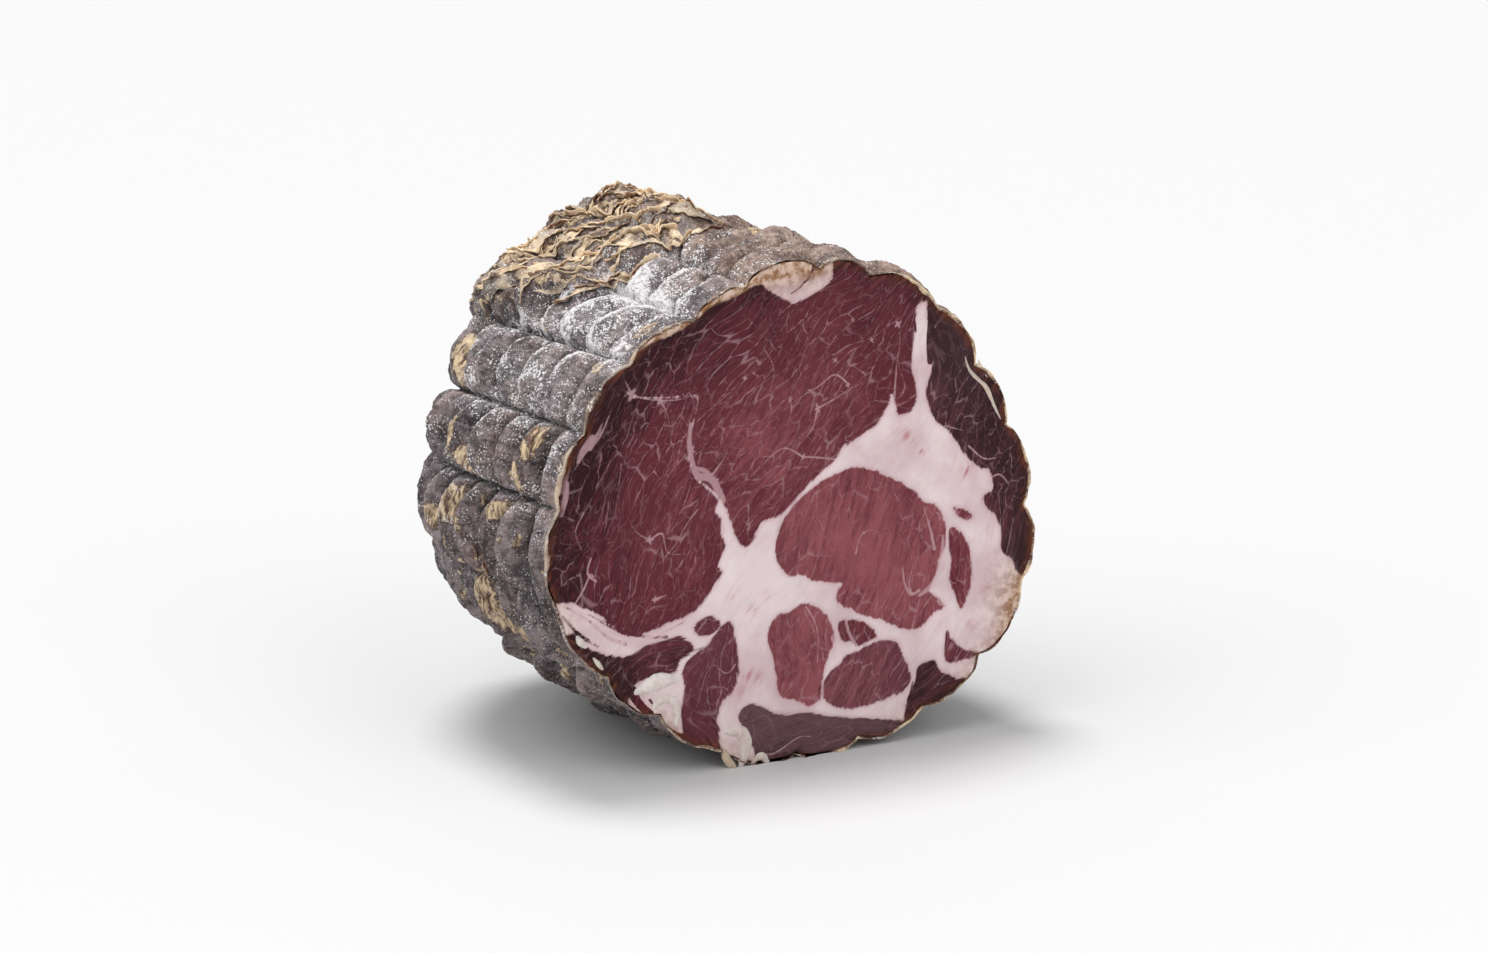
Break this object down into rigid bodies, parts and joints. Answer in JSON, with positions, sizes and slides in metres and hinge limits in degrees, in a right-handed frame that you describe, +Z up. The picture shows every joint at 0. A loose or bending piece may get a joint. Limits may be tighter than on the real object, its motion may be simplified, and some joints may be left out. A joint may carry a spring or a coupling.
{
  "type": "half coppa",
  "caption": "Half of a cured coppa lying on its side: flat marbled cut face, ribbed casing pressed into rows, rounded gathered end.",
  "frame": {"origin": "middle of the bounding box on the floor, under the half as it lies", "axes": "+Z up, +Y from the cut face to the gathered end, +X to the right when the cut face is looked at"},
  "size_m": [0.1118, 0.0914, 0.1048],
  "materials": {
    "cured_meat": "dry matt casing, satin cut face"
  },
  "bodies": {
    "root": {"coppa": "cured_meat"}
  },
  "joints": []
}
